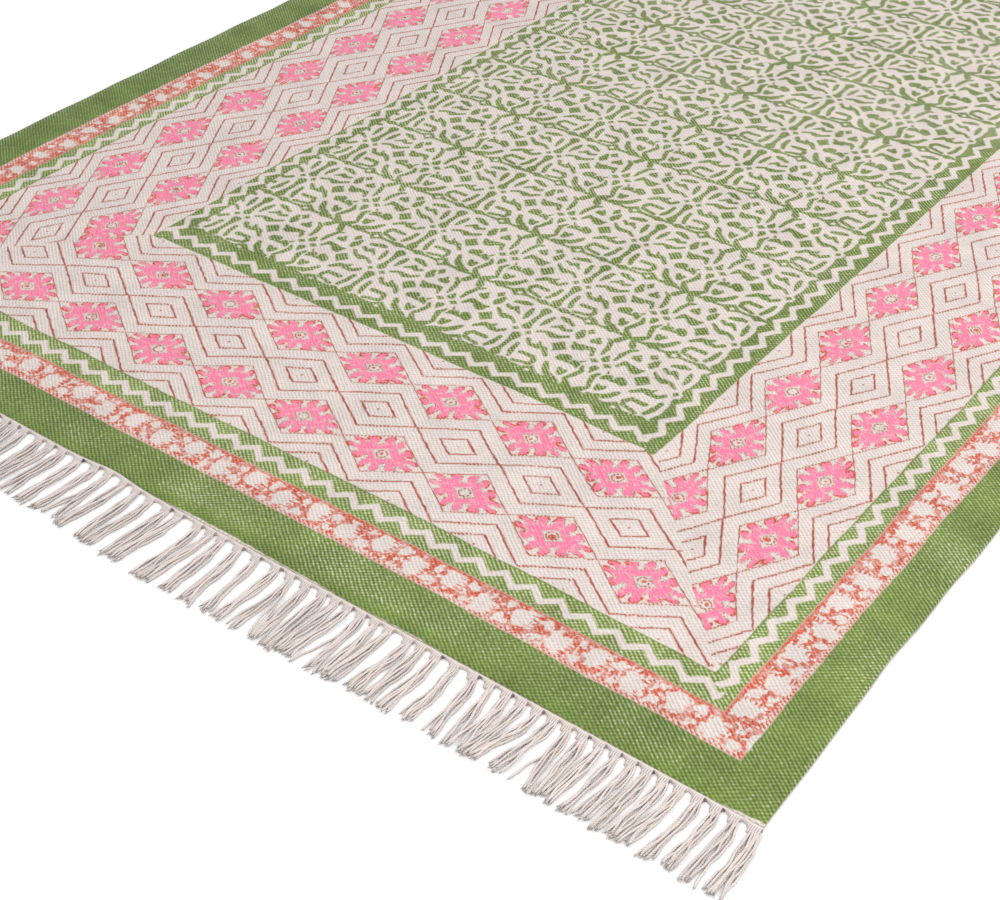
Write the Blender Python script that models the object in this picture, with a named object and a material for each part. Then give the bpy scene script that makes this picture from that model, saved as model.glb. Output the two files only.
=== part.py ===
"""Block-printed cotton rug: one flat woven cloth, with a fringe of yarn tassels on each short end.

Metres, +Z up. The rug lies face up on Z = 0, its length along Y. The origin is under its middle.
The cloth's print, the weave and the single yarns of each tassel are left to the surface finish.
The back end is the front end turned half a turn about Z, so each end is made by the same functions.
"""

import math

import bmesh
import bpy

# Cloth
WIDTH = 1.200
LENGTH = 1.800
THICKNESS = 0.004
ROWS = 14  # cells of the cloth along its length
LOCKS_PER_CELL = 2  # tassels to one cell of the cloth across its width

# How far the long sides stray from straight
SIDE_BOW = 0.004
SIDE_BOW_LENGTH = 0.900
CORNER_FLARE = 0.004
CORNER_FLARE_LENGTH = 0.080

# How far an end strays from straight
END_SKEW = 0.0035
END_DENT = 0.004
END_DENT_AT = -0.050
END_DENT_WIDTH = 0.030

# Heading strip that the tassels grow from
GAP = 0.0003
STRIP_DEPTH = 0.0040
STRIP_HEIGHT = 0.0032

# Tassels
ROOT_WIDTH = 0.0080
FIRST_ROOT = 0.6000
LAST_ROOT = -0.6010
LOCK_REACH = 0.0725
LONGER_BY = 0.0070
LONGER_AT = 0.070
LONGER_WIDTH = 0.180
UNEVEN_TIPS = 0.0015
SWAY = 0.0030
LOCK_TOP_SHARE = 0.72
LOCK_CLEARANCE = 0.0006

# Sections of a tassel from its root to its tip: share of its reach, width, height
LOCK_SECTIONS = (
    (0.07, 0.0066, 0.0036),
    (0.27, 0.0080, 0.0040),
    (0.62, 0.0088, 0.0037),
    (1.00, 0.0100, 0.0032),
)

# Clumps of tassels from the right-hand corner on, in mm: how many tassels, their spacing,
# the space to the next clump, and how far the first and the last tip lie right of the root.
# After the last row the clumps start again, until the end is full.
CLUMPS = (
    (5, 15.0, 14.0, 6, -4),
    (5, 13.8, 15.0, 0, 1),
    (2, 14.0, 13.0, 6, 8),
    (3, 14.5, 14.0, -5, -3),
    (2, 16.0, 16.0, 3, 12),
    (3, 18.0, 15.0, 11, 3),
    (2, 13.0, 20.0, 1, -1),
    (2, 14.0, 14.0, -2, 5),
    (2, 14.0, 13.0, 6, -3),
    (2, 14.0, 18.0, -1, 5),
    (2, 17.0, 16.0, 10, 13),
    (2, 22.0, 20.0, 3, 11),
    (2, 19.0, 13.0, 10, 7),
    (2, 15.0, 22.0, -1, 5),
    (2, 15.0, 20.0, -4, 0),
    (2, 18.0, 17.0, -1, 5),
    (2, 20.0, 16.0, -3, 4),
    (3, 20.0, 15.0, 0, 0),
    (2, 15.0, 20.0, -4, 4),
    (2, 13.0, 12.0, 2, 5),
)
MM = 0.001


def side_x(from_front):
    """The right-hand long side's X, so far from the front end."""
    bow = SIDE_BOW * math.sin(math.pi * from_front / SIDE_BOW_LENGTH)
    to_corner = min(from_front, LENGTH - from_front)
    flare = CORNER_FLARE * math.exp(-to_corner / CORNER_FLARE_LENGTH)
    return WIDTH / 2 - bow + flare


def end_y(x):
    """The front end's Y, so far right of the middle."""
    skew = END_SKEW * (0.5 - x / WIDTH)
    dent = END_DENT * math.exp(-(((x - END_DENT_AT) / END_DENT_WIDTH) ** 2))
    return -LENGTH / 2 - skew + dent


def lock_places():
    """Each tassel's root X and how far its tip lies to the right, from the right-hand corner on."""
    places = []
    x = FIRST_ROOT
    row = 0
    while True:
        count, spacing, space, lean_first, lean_last = CLUMPS[row % len(CLUMPS)]
        for i in range(count):
            if x < LAST_ROOT:
                return places
            lean = lean_first + (lean_last - lean_first) * i / (count - 1)
            places.append((x, lean * MM))
            x -= (spacing if i < count - 1 else space) * MM
        row += 1


def lock_reach(index, x):
    """A tassel's length from the strip to its tip."""
    longer = LONGER_BY * math.exp(-(((x - LONGER_AT) / LONGER_WIDTH) ** 2))
    return LOCK_REACH + longer + UNEVEN_TIPS * math.sin(2.4 * index)


def lock_x(root, lean, share):
    """Where a tassel's middle lies at a share of its reach: it swings right, then comes back."""
    return root + lean * share + SWAY * math.sin(math.pi * math.sqrt(share))


def edge_stations(places):
    """X of the corners of the end's outline, from left to right, each midway between two tassels."""
    roots = [root for root, lean in places]
    between = [(a + b) / 2 for a, b in zip(roots[:-1], roots[1:])]
    inner = between[LOCKS_PER_CELL - 1 :: LOCKS_PER_CELL]
    return [-side_x(LENGTH), *reversed(inner), side_x(0)]


def edge_line(stations, x):
    """The end's Y at x, on the straight runs between the stations."""
    for left, right in zip(stations[:-1], stations[1:]):
        if x <= right or right == stations[-1]:
            share = min(max((x - left) / (right - left), 0.0), 1.0)
            return end_y(left) + share * (end_y(right) - end_y(left))


def new_object(name, mesh, material):
    """Puts a finished bmesh into the scene as a named object."""
    bmesh.ops.recalc_face_normals(mesh, faces=mesh.faces)
    data = bpy.data.meshes.new(name)
    mesh.to_mesh(data)
    mesh.free()
    data.materials.append(material)
    thing = bpy.data.objects.new(name, data)
    bpy.context.collection.objects.link(thing)
    return thing


def cloth_material():
    material = bpy.data.materials.new("printed_cotton")
    material.use_nodes = True
    shader = material.node_tree.nodes["Principled BSDF"]
    shader.inputs["Base Color"].default_value = (0.25, 0.38, 0.10, 1.0)
    shader.inputs["Roughness"].default_value = 0.9
    shader.inputs["Metallic"].default_value = 0.0
    return material


def yarn_material():
    material = bpy.data.materials.new("natural_cotton_yarn")
    material.use_nodes = True
    shader = material.node_tree.nodes["Principled BSDF"]
    shader.inputs["Base Color"].default_value = (0.60, 0.53, 0.47, 1.0)
    shader.inputs["Roughness"].default_value = 0.95
    shader.inputs["Metallic"].default_value = 0.0
    return material


def make_cloth(stations, material):
    """The woven cloth: a flat slab whose outline strays as the two ends and the two sides do."""
    mesh = bmesh.new()
    columns = len(stations) - 1
    span = stations[-1] - stations[0]
    front = [(x - stations[0]) / span for x in stations]
    back = [1 - share for share in reversed(front)]
    grid = []
    for row in range(ROWS + 1):
        along = row / ROWS
        right = side_x(LENGTH * along)
        left = -side_x(LENGTH * (1 - along))
        line = []
        for column in range(columns + 1):
            across = front[column] + (back[column] - front[column]) * along
            low = end_y(stations[column])
            high = -end_y(stations[-1] - back[column] * span)
            line.append((left + (right - left) * across, low + (high - low) * along))
        grid.append(line)
    top = [[mesh.verts.new((x, y, THICKNESS)) for x, y in line] for line in grid]
    bottom = [[mesh.verts.new((x, y, 0.0)) for x, y in line] for line in grid]
    for row in range(ROWS):
        for column in range(columns):
            corners = ((row, column), (row, column + 1), (row + 1, column + 1), (row + 1, column))
            mesh.faces.new([top[r][c] for r, c in corners])
            mesh.faces.new([bottom[r][c] for r, c in reversed(corners)])
    rim = [(0, c) for c in range(columns)] + [(r, columns) for r in range(ROWS)]
    rim += [(ROWS, c) for c in range(columns, 0, -1)] + [(r, 0) for r in range(ROWS, 0, -1)]
    for (r0, c0), (r1, c1) in zip(rim, rim[1:] + rim[:1]):
        mesh.faces.new((bottom[r0][c0], bottom[r1][c1], top[r1][c1], top[r0][c0]))
    return new_object("rug_cloth", mesh, material)


def lock_widths(places, share, width):
    """Each tassel's width at a share of its reach, narrower where its neighbours lie close."""
    middles = [lock_x(root, lean, share) for root, lean in places]
    steps = [a - b for a, b in zip(middles[:-1], middles[1:])]
    near = [min(pair) for pair in zip([steps[0], *steps], [*steps, steps[-1]])]
    return middles, [min(width, step - LOCK_CLEARANCE) for step in near]


def make_fringe(name, places, stations, material, turned):
    """One end's heading strip with its tassels, in one closed mesh, lying level on Z = 0."""
    mesh = bmesh.new()
    flip = -1 if turned else 1

    def vert(x, y, z):
        return mesh.verts.new((flip * x, flip * y, z))

    # The strip's sections: its ends, the outline's corners and both sides of each root
    left_end = places[-1][0] - ROOT_WIDTH / 2
    right_end = places[0][0] + ROOT_WIDTH / 2
    marks = [x for x in stations[1:-1] if left_end < x < right_end]
    for root, _lean in places:
        marks += [root - ROOT_WIDTH / 2, root + ROOT_WIDTH / 2]
    marks.sort()
    sections = []
    for x in marks:
        inner = edge_line(stations, x) - GAP
        outer = inner - STRIP_DEPTH
        sections.append(
            (
                vert(x, inner, 0.0),
                vert(x, inner, STRIP_HEIGHT),
                vert(x, outer, STRIP_HEIGHT),
                vert(x, outer, 0.0),
            )
        )
    roots = {}
    lefts = {round(root - ROOT_WIDTH / 2, 7): i for i, (root, lean) in enumerate(places)}
    for number, (a, b) in enumerate(zip(sections[:-1], sections[1:])):
        for side in range(4):
            following = (side + 1) % 4
            index = lefts.get(round(marks[number], 7))
            if side == 2 and index is not None:
                roots[index] = (a[3], b[3], b[2], a[2])
                continue
            mesh.faces.new((a[side], b[side], b[following], a[following]))
    mesh.faces.new(sections[0])
    mesh.faces.new(sections[-1])

    # The tassels, each grown from its root's face by four sections
    rings = {index: [corners] for index, corners in roots.items()}
    for share, width, height in LOCK_SECTIONS:
        middles, widths = lock_widths(places, share, width)
        for index, (root, _lean) in enumerate(places):
            start = edge_line(stations, root) - GAP - STRIP_DEPTH
            y = start - lock_reach(index, root) * share
            low, high = widths[index] / 2, widths[index] / 2 * LOCK_TOP_SHARE
            x = middles[index]
            rings[index].append(
                (
                    vert(x - low, y, 0.0),
                    vert(x + low, y, 0.0),
                    vert(x + high, y, height),
                    vert(x - high, y, height),
                )
            )
    for ring in rings.values():
        for a, b in zip(ring[:-1], ring[1:]):
            for side in range(4):
                following = (side + 1) % 4
                mesh.faces.new((a[side], a[following], b[following], b[side]))
        mesh.faces.new(ring[-1])
    return new_object(name, mesh, material)


def main():
    for thing in list(bpy.data.objects):
        bpy.data.objects.remove(thing)
    places = lock_places()
    stations = edge_stations(places)
    yarn = yarn_material()
    make_cloth(stations, cloth_material())
    make_fringe("fringe_front", places, stations, yarn, turned=False)
    make_fringe("fringe_back", places, stations, yarn, turned=True)


main()
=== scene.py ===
"""Looks of the block-printed rug: the printed weave of the cloth and the yarns of its two fringes.

The cloth's print is drawn by shader nodes in print coordinates, in millimetres: x across the rug and
y along it, both from its middle. They are kept in a UV map, so that the print follows the cloth.
"""

import math
import random

import bmesh
import bpy
from mathutils import Matrix, Vector, noise


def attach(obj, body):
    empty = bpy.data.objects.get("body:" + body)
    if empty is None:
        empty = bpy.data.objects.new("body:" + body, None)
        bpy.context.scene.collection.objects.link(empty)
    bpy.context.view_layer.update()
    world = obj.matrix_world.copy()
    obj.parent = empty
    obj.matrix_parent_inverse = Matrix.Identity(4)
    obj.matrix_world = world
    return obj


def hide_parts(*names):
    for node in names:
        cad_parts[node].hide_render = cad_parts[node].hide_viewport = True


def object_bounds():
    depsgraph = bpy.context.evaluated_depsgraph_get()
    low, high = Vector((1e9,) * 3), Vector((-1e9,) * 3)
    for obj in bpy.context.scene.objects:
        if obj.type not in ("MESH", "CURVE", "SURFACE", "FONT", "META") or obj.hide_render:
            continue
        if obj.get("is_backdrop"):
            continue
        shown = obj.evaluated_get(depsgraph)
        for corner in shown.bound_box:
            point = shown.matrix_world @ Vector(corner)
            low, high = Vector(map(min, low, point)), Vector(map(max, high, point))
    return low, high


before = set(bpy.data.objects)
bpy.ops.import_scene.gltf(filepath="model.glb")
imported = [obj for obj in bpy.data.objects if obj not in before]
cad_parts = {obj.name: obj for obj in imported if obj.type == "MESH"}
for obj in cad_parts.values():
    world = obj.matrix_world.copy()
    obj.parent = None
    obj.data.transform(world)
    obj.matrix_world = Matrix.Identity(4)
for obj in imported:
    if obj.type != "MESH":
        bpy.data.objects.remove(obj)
cad_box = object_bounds()

MM = 0.001

# The cloth's outline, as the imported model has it
WIDTH = 1.200
LENGTH = 1.800
THICKNESS = 0.004
SIDE_BOW = 0.004
SIDE_BOW_LENGTH = 0.900
CORNER_FLARE = 0.004
CORNER_FLARE_LENGTH = 0.080
END_SKEW = 0.0035
END_DENT = (0.004, -0.050, 0.030)  # a hump: its height, middle and width

# How the woven edge of a long side strays from that outline: full near the corner, then slack,
# both humps, then in waves, with places measured from the front end
EDGE_FULL = (0.0016, 0.070, 0.070)
EDGE_SLACK = (0.0010, 0.207, 0.028)
EDGE_WAVE = 0.0006
EDGE_WAVE_LENGTH = 0.103
EDGE_WAVE_PHASE = 0.225
EDGE_WAVES_FROM = 0.15
EDGE_WAVES_OVER = 0.10

# The fringe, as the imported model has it
FIRST_ROOT = 0.6000
LAST_ROOT = -0.6010
STRIP_HEIGHT = 0.0032
LOCK_REACH = 0.0725
LONGER = (0.0070, 0.070, 0.180)  # a hump
UNEVEN_TIPS = 0.0015
UNEVEN_STEP = 2.4
SWAY = 0.0030

# Clumps of tassels from the right-hand corner on, in mm: how many tassels, their spacing,
# the space to the next clump, and how far the first and the last tip lie right of the root
CLUMPS = (
    (5, 15.0, 14.0, 6, -4),
    (5, 13.8, 15.0, 0, 1),
    (2, 14.0, 13.0, 6, 8),
    (3, 14.5, 14.0, -5, -3),
    (2, 16.0, 16.0, 3, 12),
    (3, 18.0, 15.0, 11, 3),
    (2, 13.0, 20.0, 1, -1),
    (2, 14.0, 14.0, -2, 5),
    (2, 14.0, 13.0, 6, -3),
    (2, 14.0, 18.0, -1, 5),
    (2, 17.0, 16.0, 10, 13),
    (2, 22.0, 20.0, 3, 11),
    (2, 19.0, 13.0, 10, 7),
    (2, 15.0, 22.0, -1, 5),
    (2, 15.0, 20.0, -4, 0),
    (2, 18.0, 17.0, -1, 5),
    (2, 20.0, 16.0, -3, 4),
    (3, 20.0, 15.0, 0, 0),
    (2, 15.0, 20.0, -4, 4),
    (2, 13.0, 12.0, 2, 5),
)

# Tassels that part below their root: root X in mm, how many yarns leave to the left, the share of
# the reach where they leave, and how far their tips and the other tips lie to the right, in mm
PARTINGS = (
    (417, 5, 0.38, -6, 2),
    (443, 1, 0.48, -6, 3),
    (388, 2, 0.45, -5, 2),
    (358, 1, 0.60, -3, 1),
    (167, 3, 0.25, -8, 3),
    (243, 1, 0.35, -9, 1),
    (-60, 2, 0.40, -7, 2),
    (-180, 3, 0.50, -6, 3),
)

# Bands of the print, in mm from the rug's middle
HEM_SIDE = 555.5
HEM_END = 854.0
LEAF_SIDE = 521.5
LEAF_END = 820.0
BAND_SIDE = 496.3
BAND_END = 789.5
INNER_SIDE = 312.0
INNER_END = 596.6
INNER_SPIKE = 599.5
BAND_CUT = 1.5
INNER_CUT = 1.2
FIELD_LEFT = -291.0
FIELD_RIGHT = 284.5
FIELD_END = 564.0

# Where the print stops short of the cloth's front end, in mm
PRINT_LIMIT = 901.5
PRINT_LIMIT_DENT = 4.0
PRINT_LIMIT_CORNER = 9.0
PRINT_LIMIT_CORNER_FROM = 515.0

# How much of the outline's bow and flare the print takes, and how far its end bands bow outwards
PRINT_BOW_SHARE = 0.8
PRINT_FLARE_SHARE = 1.9
PRINT_END_BOW = 3.0
PRINT_END_BOW_WIDTH = 620.0
# The print lies a little to the right, sways up on the right, and draws in away from the ends
PRINT_ASIDE = 1.3
PRINT_SWAY = 2.3
PRINT_SWAY_WIDTH = 500.0
PRINT_DRAW_IN = 0.0105
PRINT_DRAW_FROM = 520.0
PRINT_DRAW_OVER = 300.0
# From the front corner on, the left-hand band and its neighbours lie further in
PRINT_LEFT_IN = (3.1, -320.0, 110.0)  # a hump
PRINT_LEFT_FROM = 480.0
PRINT_LEFT_OVER = 80.0

# Zigzag lines, in mm
ZIGZAG_PITCH_END = 27.6
ZIGZAG_HEIGHT = 10.8
ZIGZAG_HALF_LINE = 3.2
OUTER_ZIGZAG_SIDE = 507.5
OUTER_ZIGZAG_END = 805.3
OUTER_ZIGZAG_PITCH = 28.91
OUTER_TIP_END = 356.5
INNER_ZIGZAG_END = 581.7
INNER_ZIGZAG_PITCH = 28.5
INNER_TIP_END = 84.0
# How the zigzags run along the sides: their stretch and shift, plus on the right and minus on
# the left, and where they start
OUTER_RUN = (0.0031, 8.25, -567.95)
INNER_RUN = (-0.0105, 4.0, -396.7)

# The medallion band, in mm, in the end band's own measure
BAND_PITCH = 92.0
BAND_ROW = 48.0
BAND_MIDDLE_END = 694.0
BAND_SLANT = 0.004
BAND_PHASE_END = 74.0
BAND_PITCH_SIDE = 96.3
BAND_ROW_SIDE = 45.0
BAND_MIDDLE_SIDE = 406.2
BAND_PHASE_SIDE = -575.9
BAND_PHASE_SHIFT = 11.6
LINE_SLOPE = 30.5 / 46.0
LINE_HALF = 1.0
DOTTED_HALF = 0.85

# The leaf band, in mm: each leaf has a toothed crown, and a leaflet stands between each two
LEAF_PITCH = 36.0
LEAF_PHASE = -555.0
LEAF_HALF_ALONG = 9.6
LEAF_HALF_ACROSS = 11.0
LEAF_TOOTH = 4.2
LEAF_MIDDLE = 15.8
LEAF_STEP = 3.0
LEAF_RAGGED = 12.0
LEAFLET_MIDDLE = 16.8
LEAFLETS = ((7.6, 5.6, 4.8), (-8.4, 3.4, 3.6))  # off the middle, half length and half width
RIM_INNER = 2.8
RIM_OUTER = 30.6

# The weave, in mm. Its ribs lean by turns to one side and to the other, and its beads stray.
WARP_PITCH = 2.6
WEFT_PITCH = 2.0
RIBS_CHANGE_OVER = 110.0
BEAD_UNEVEN = 0.9
BEAD_UNEVEN_OVER = 3.4

# How far the beads, the block's print and its ragged edges stray, in mm: over how far, and
# across and along
BEAD_STRAY = (11.0, (1.3, 1.0))
BLOCK_STRAY = (70.0, (3.0, 3.0))
EDGE_STRAY = (6.0, (1.3, 1.3))

# How strongly the beads' painted shade and highlight mark the bare yarn and each ink
CREAM_RELIEF = 0.44
GREEN_RELIEF = 0.95
TERRACOTTA_RELIEF = 0.75
PINK_RELIEF = 0.22

BEAD_DEPTH = 0.00045
PLY_DEPTH = 0.00022
MATTE = {
    "Roughness": 0.92,
    "Specular IOR Level": 0.15,
    "Sheen Weight": 0.08,
    "Sheen Roughness": 0.6,
}

# How much ink the bead tops lose everywhere, and how much more where the wear goes past a limit
LOSS_EVERYWHERE = 0.13
LOSS_RUBBED = 0.50
RUBBED_FROM = 0.93
RUBBED_FULL = 1.5
WEAR_BLOTS = 75.0
WEAR_SPOTS = 3.2
# More wear than elsewhere, or less where it is below zero
FIELD_WORN = 0.20
STRIP_WORN = 0.50
SELVEDGE_WORN = 0.45
HEM_END_WORN = -0.45
HEM_RUBBED = 0.20

# How dark the painted shade makes the pits between the beads, how much lighter the painted highlight
# makes the tops, and the dye's own changes
PIT_SHADE = -0.47
TOP_TO_PIT = 0.92
DYE_BLOTS = 38.0
STREAK_SHADE = 0.22
STREAK_SQUEEZE = (0.06, 0.9, 0.0)

# The lattice of the field, in mm: half a repeat across and a whole repeat along
LATTICE_WIDTH = 92.0
LATTICE_HEIGHT = 101.0
LATTICE_X = 101.5
LATTICE_Y = -563.0

# Green strokes of half a repeat, from the lens axis at x = 0 to the lily axis at x = 92.
# Each stroke runs through its points: x, y and half the stroke's width there.
LATTICE_STROKES = (
    ((0, 0, 1.5), (92, 0, 1.5)),
    ((9, 0, 2.6), (13, 0, 4.0), (17, 0, 2.6)),
    ((64, 2, 3.4), (68, 2, 5.0), (73, 2, 3.2)),
    ((0, 6.5, 5.5), (0, 14, 2.4), (0, 30, 2.3), (0, 40, 5)),
    ((10.5, 29, 2), (11.5, 17, 2.8), (14.5, 9, 2)),
    ((21.5, 20, 2.4), (36, 20.5, 2.4), (39.5, 15, 2.4), (38.5, 9, 2), (30, 7, 1.8), (22, 5, 2)),
    ((14.5, 41, 2.3), (19.5, 35, 2), (29, 36, 3)),
    ((25.5, 44, 0.8), (29, 38, 3)),
    ((31, 38, 3), (36, 37, 3), (43, 29.5, 1.8)),
    ((57, 35.5, 4.8), (61, 38, 4.8)),
    ((63, 33.5, 1.6), (72, 33.5, 1.6)),
    ((71, 36.5, 3), (75, 34, 3.2), (77.5, 30.5, 1)),
    ((76, 40, 1.2), (78, 43, 0.6)),
    ((51, 21, 2.2), (55, 13, 3.2), (59, 8, 3.2), (65, 7.5, 2)),
    ((66, 21, 2), (70, 16, 3.6)),
    ((70.5, 15, 3.4), (73, 20, 2)),
    ((82, 35, 1.2), (85, 28, 2.6), (82, 18, 2.4), (78.5, 11, 1.6), (84, 4, 3.5), (88, 0, 4)),
    ((92, 39, 4), (92, 32, 1)),
    ((0, 58, 4.8), (0, 66, 2.3), (0, 82, 2.3), (0, 89, 5.5)),
    ((10, 67, 1.2), (11.5, 76, 3), (13, 84, 1.8)),
    ((20, 71, 1), (25, 75, 2), (27.5, 77, 3), (32, 73.5, 2), (38, 77, 1.8)),
    ((13.5, 56.5, 1.5), (21, 61, 1.8), (29, 59.5, 3.8), (35, 61, 2.2), (42, 67, 1.6)),
    ((51.5, 63, 1), (58, 58.5, 4.5)),
    ((58, 58, 5), (62, 59.5, 4.5)),
    ((62, 61, 3), (73, 63, 2.8), (77, 55, 1.4)),
    ((48.5, 84, 2), (49.5, 77, 4.5)),
    ((50.5, 75, 4), (50, 72, 2.5)),
    ((67.5, 82, 1.2), (67.5, 77, 4)),
    ((65, 75, 3), (70.5, 76, 3)),
    ((88, 99, 3), (83, 90, 3.6)),
    ((75, 87, 1.2), (80, 84, 2.2), (83.5, 72, 2.5), (84, 62, 1.4)),
    ((92, 63, 1), (92, 57, 4)),
    ((20, 90, 2), (25, 89.5, 3.3), (35, 86, 2)),
)
# Green diamonds of half a repeat: x, y, half width and half height
LATTICE_DIAMONDS = (
    (44, 1, 11, 8.5),
    (44, 49, 9, 9.5),
    (7.5, 49.5, 4, 4),
    (84, 49, 5.5, 4),
    (55.5, 87.5, 4.8, 6),
)

LATTICE_SPREAD = 0.50

# Strokes of a quarter of a medallion, from its middle: x, y and half the stroke's width
MEDALLION_ARMS = (
    ((10, 3.5, 5.0), (26, 4.6, 4.8), (33.5, 4.4, 3.2)),
    ((5.0, 10, 5.0), (5.8, 18, 4.8), (6.2, 22, 3.8)),
    ((12, 8, 5.0), (18, 12.6, 4.8), (22, 13.0, 3.8)),
)
MEDALLION_NOTCHES = (
    ((28.5, 0, 0.8), (32, 0, 1.7), (42, 0, 3.2)),
    ((0, 17.8, 0.8), (0, 22.5, 1.9), (0, 30, 3.6)),
    ((13.4, 21, 2.4), (12.4, 15, 1.9), (11.2, 11.0, 1.1)),
    ((11.5, 12.8, 1.6), (9.6, 13.2, 1.2)),
    ((36, 10.6, 2.9), (29.5, 9.4, 2.1), (23.5, 7.9, 1.0)),
)

# Colours
CREAM = (210, 198, 192)
# Cream of the unprinted web, darkened as painted shade on the cloth's sides and underside
SHADED_WEB = (176, 166, 160)
GREEN = (110, 131, 59)
# A darker green for the hem, in part painted shade where it turns down at its end
HEM_GREEN = (88, 110, 48)
STRIP_GREEN = (122, 143, 68)
FIELD_GREEN = (104, 126, 50)
TERRACOTTA = (194, 90, 64)
LINE_RED = (160, 79, 60)
PINK = (234, 122, 154)
YARN = (221, 209, 203)


def linear(colour):
    """An 8-bit screen colour as the linear colour that a shader takes."""
    values = [c / 255 for c in colour]
    values = [v / 12.92 if v <= 0.04045 else ((v + 0.055) / 1.055) ** 2.4 for v in values]
    return (*values, 1.0)


def held(value):
    """The value held between 0 and 1."""
    return min(max(value, 0.0), 1.0)


def hump(at, height, middle, width):
    """How high a smooth hump is there."""
    return height * math.exp(-(((at - middle) / width) ** 2))


def new_object(name, mesh, materials):
    """Puts a finished bmesh into the scene as a named object."""
    data = bpy.data.meshes.new(name)
    mesh.to_mesh(data)
    mesh.free()
    for material in materials:
        data.materials.append(material)
    return place_in_scene(name, data)


def place_in_scene(name, data):
    """Puts a mesh, a camera or a light into the scene as a named object."""
    thing = bpy.data.objects.new(name, data)
    bpy.context.collection.objects.link(thing)
    return thing


# Outline


def side_bow(from_front):
    """How far the right-hand long side bows inwards there."""
    return SIDE_BOW * math.sin(math.pi * from_front / SIDE_BOW_LENGTH)


def corner_flare(from_front):
    """How far the right-hand long side flares outwards near a corner."""
    to_corner = max(min(from_front, LENGTH - from_front), 0.0)
    return CORNER_FLARE * math.exp(-to_corner / CORNER_FLARE_LENGTH)


def side_x(from_front):
    """The right-hand long side's X, so far from the front end."""
    return WIDTH / 2 - side_bow(from_front) + corner_flare(from_front)


def side_ripple(from_front):
    """How far the woven edge lies outside that plain line."""
    full = hump(from_front, *EDGE_FULL)
    slack = hump(from_front, *EDGE_SLACK)
    settled = held((from_front - EDGE_WAVES_FROM) / EDGE_WAVES_OVER)
    waves = math.sin(2 * math.pi * (from_front - EDGE_WAVE_PHASE) / EDGE_WAVE_LENGTH)
    return full - slack - settled * (EDGE_WAVE - EDGE_WAVE * waves)


def end_y(x):
    """The front end's Y, so far right of the middle."""
    skew = END_SKEW * (0.5 - x / WIDTH)
    return -LENGTH / 2 - skew + hump(x, *END_DENT)


def print_shift(u, v):
    """How far the print strays from its straight layout, at a place given in metres."""
    share = max(u / (WIDTH / 2), 0.0)
    from_front = LENGTH / 2 + v
    flare = PRINT_FLARE_SHARE * corner_flare(from_front) * share
    across = share * (flare - PRINT_BOW_SHARE * side_bow(from_front))
    from_end = LENGTH / 2 - abs(v)
    drawn = held((from_end / MM - PRINT_DRAW_FROM) / PRINT_DRAW_OVER)
    across += PRINT_ASIDE * MM - PRINT_DRAW_IN * u * drawn
    gone = held((from_front / MM - PRINT_LEFT_FROM) / PRINT_LEFT_OVER)
    across += MM * gone * hump(u / MM, *PRINT_LEFT_IN)
    bow = (1 - math.cos(math.pi * u / (PRINT_END_BOW_WIDTH * MM))) / 2
    along = v / (LENGTH / 2) * PRINT_END_BOW * MM * bow
    along += PRINT_SWAY * MM * math.sin(math.pi * u / (PRINT_SWAY_WIDTH * MM))
    return across, along


# Shader graphs


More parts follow.
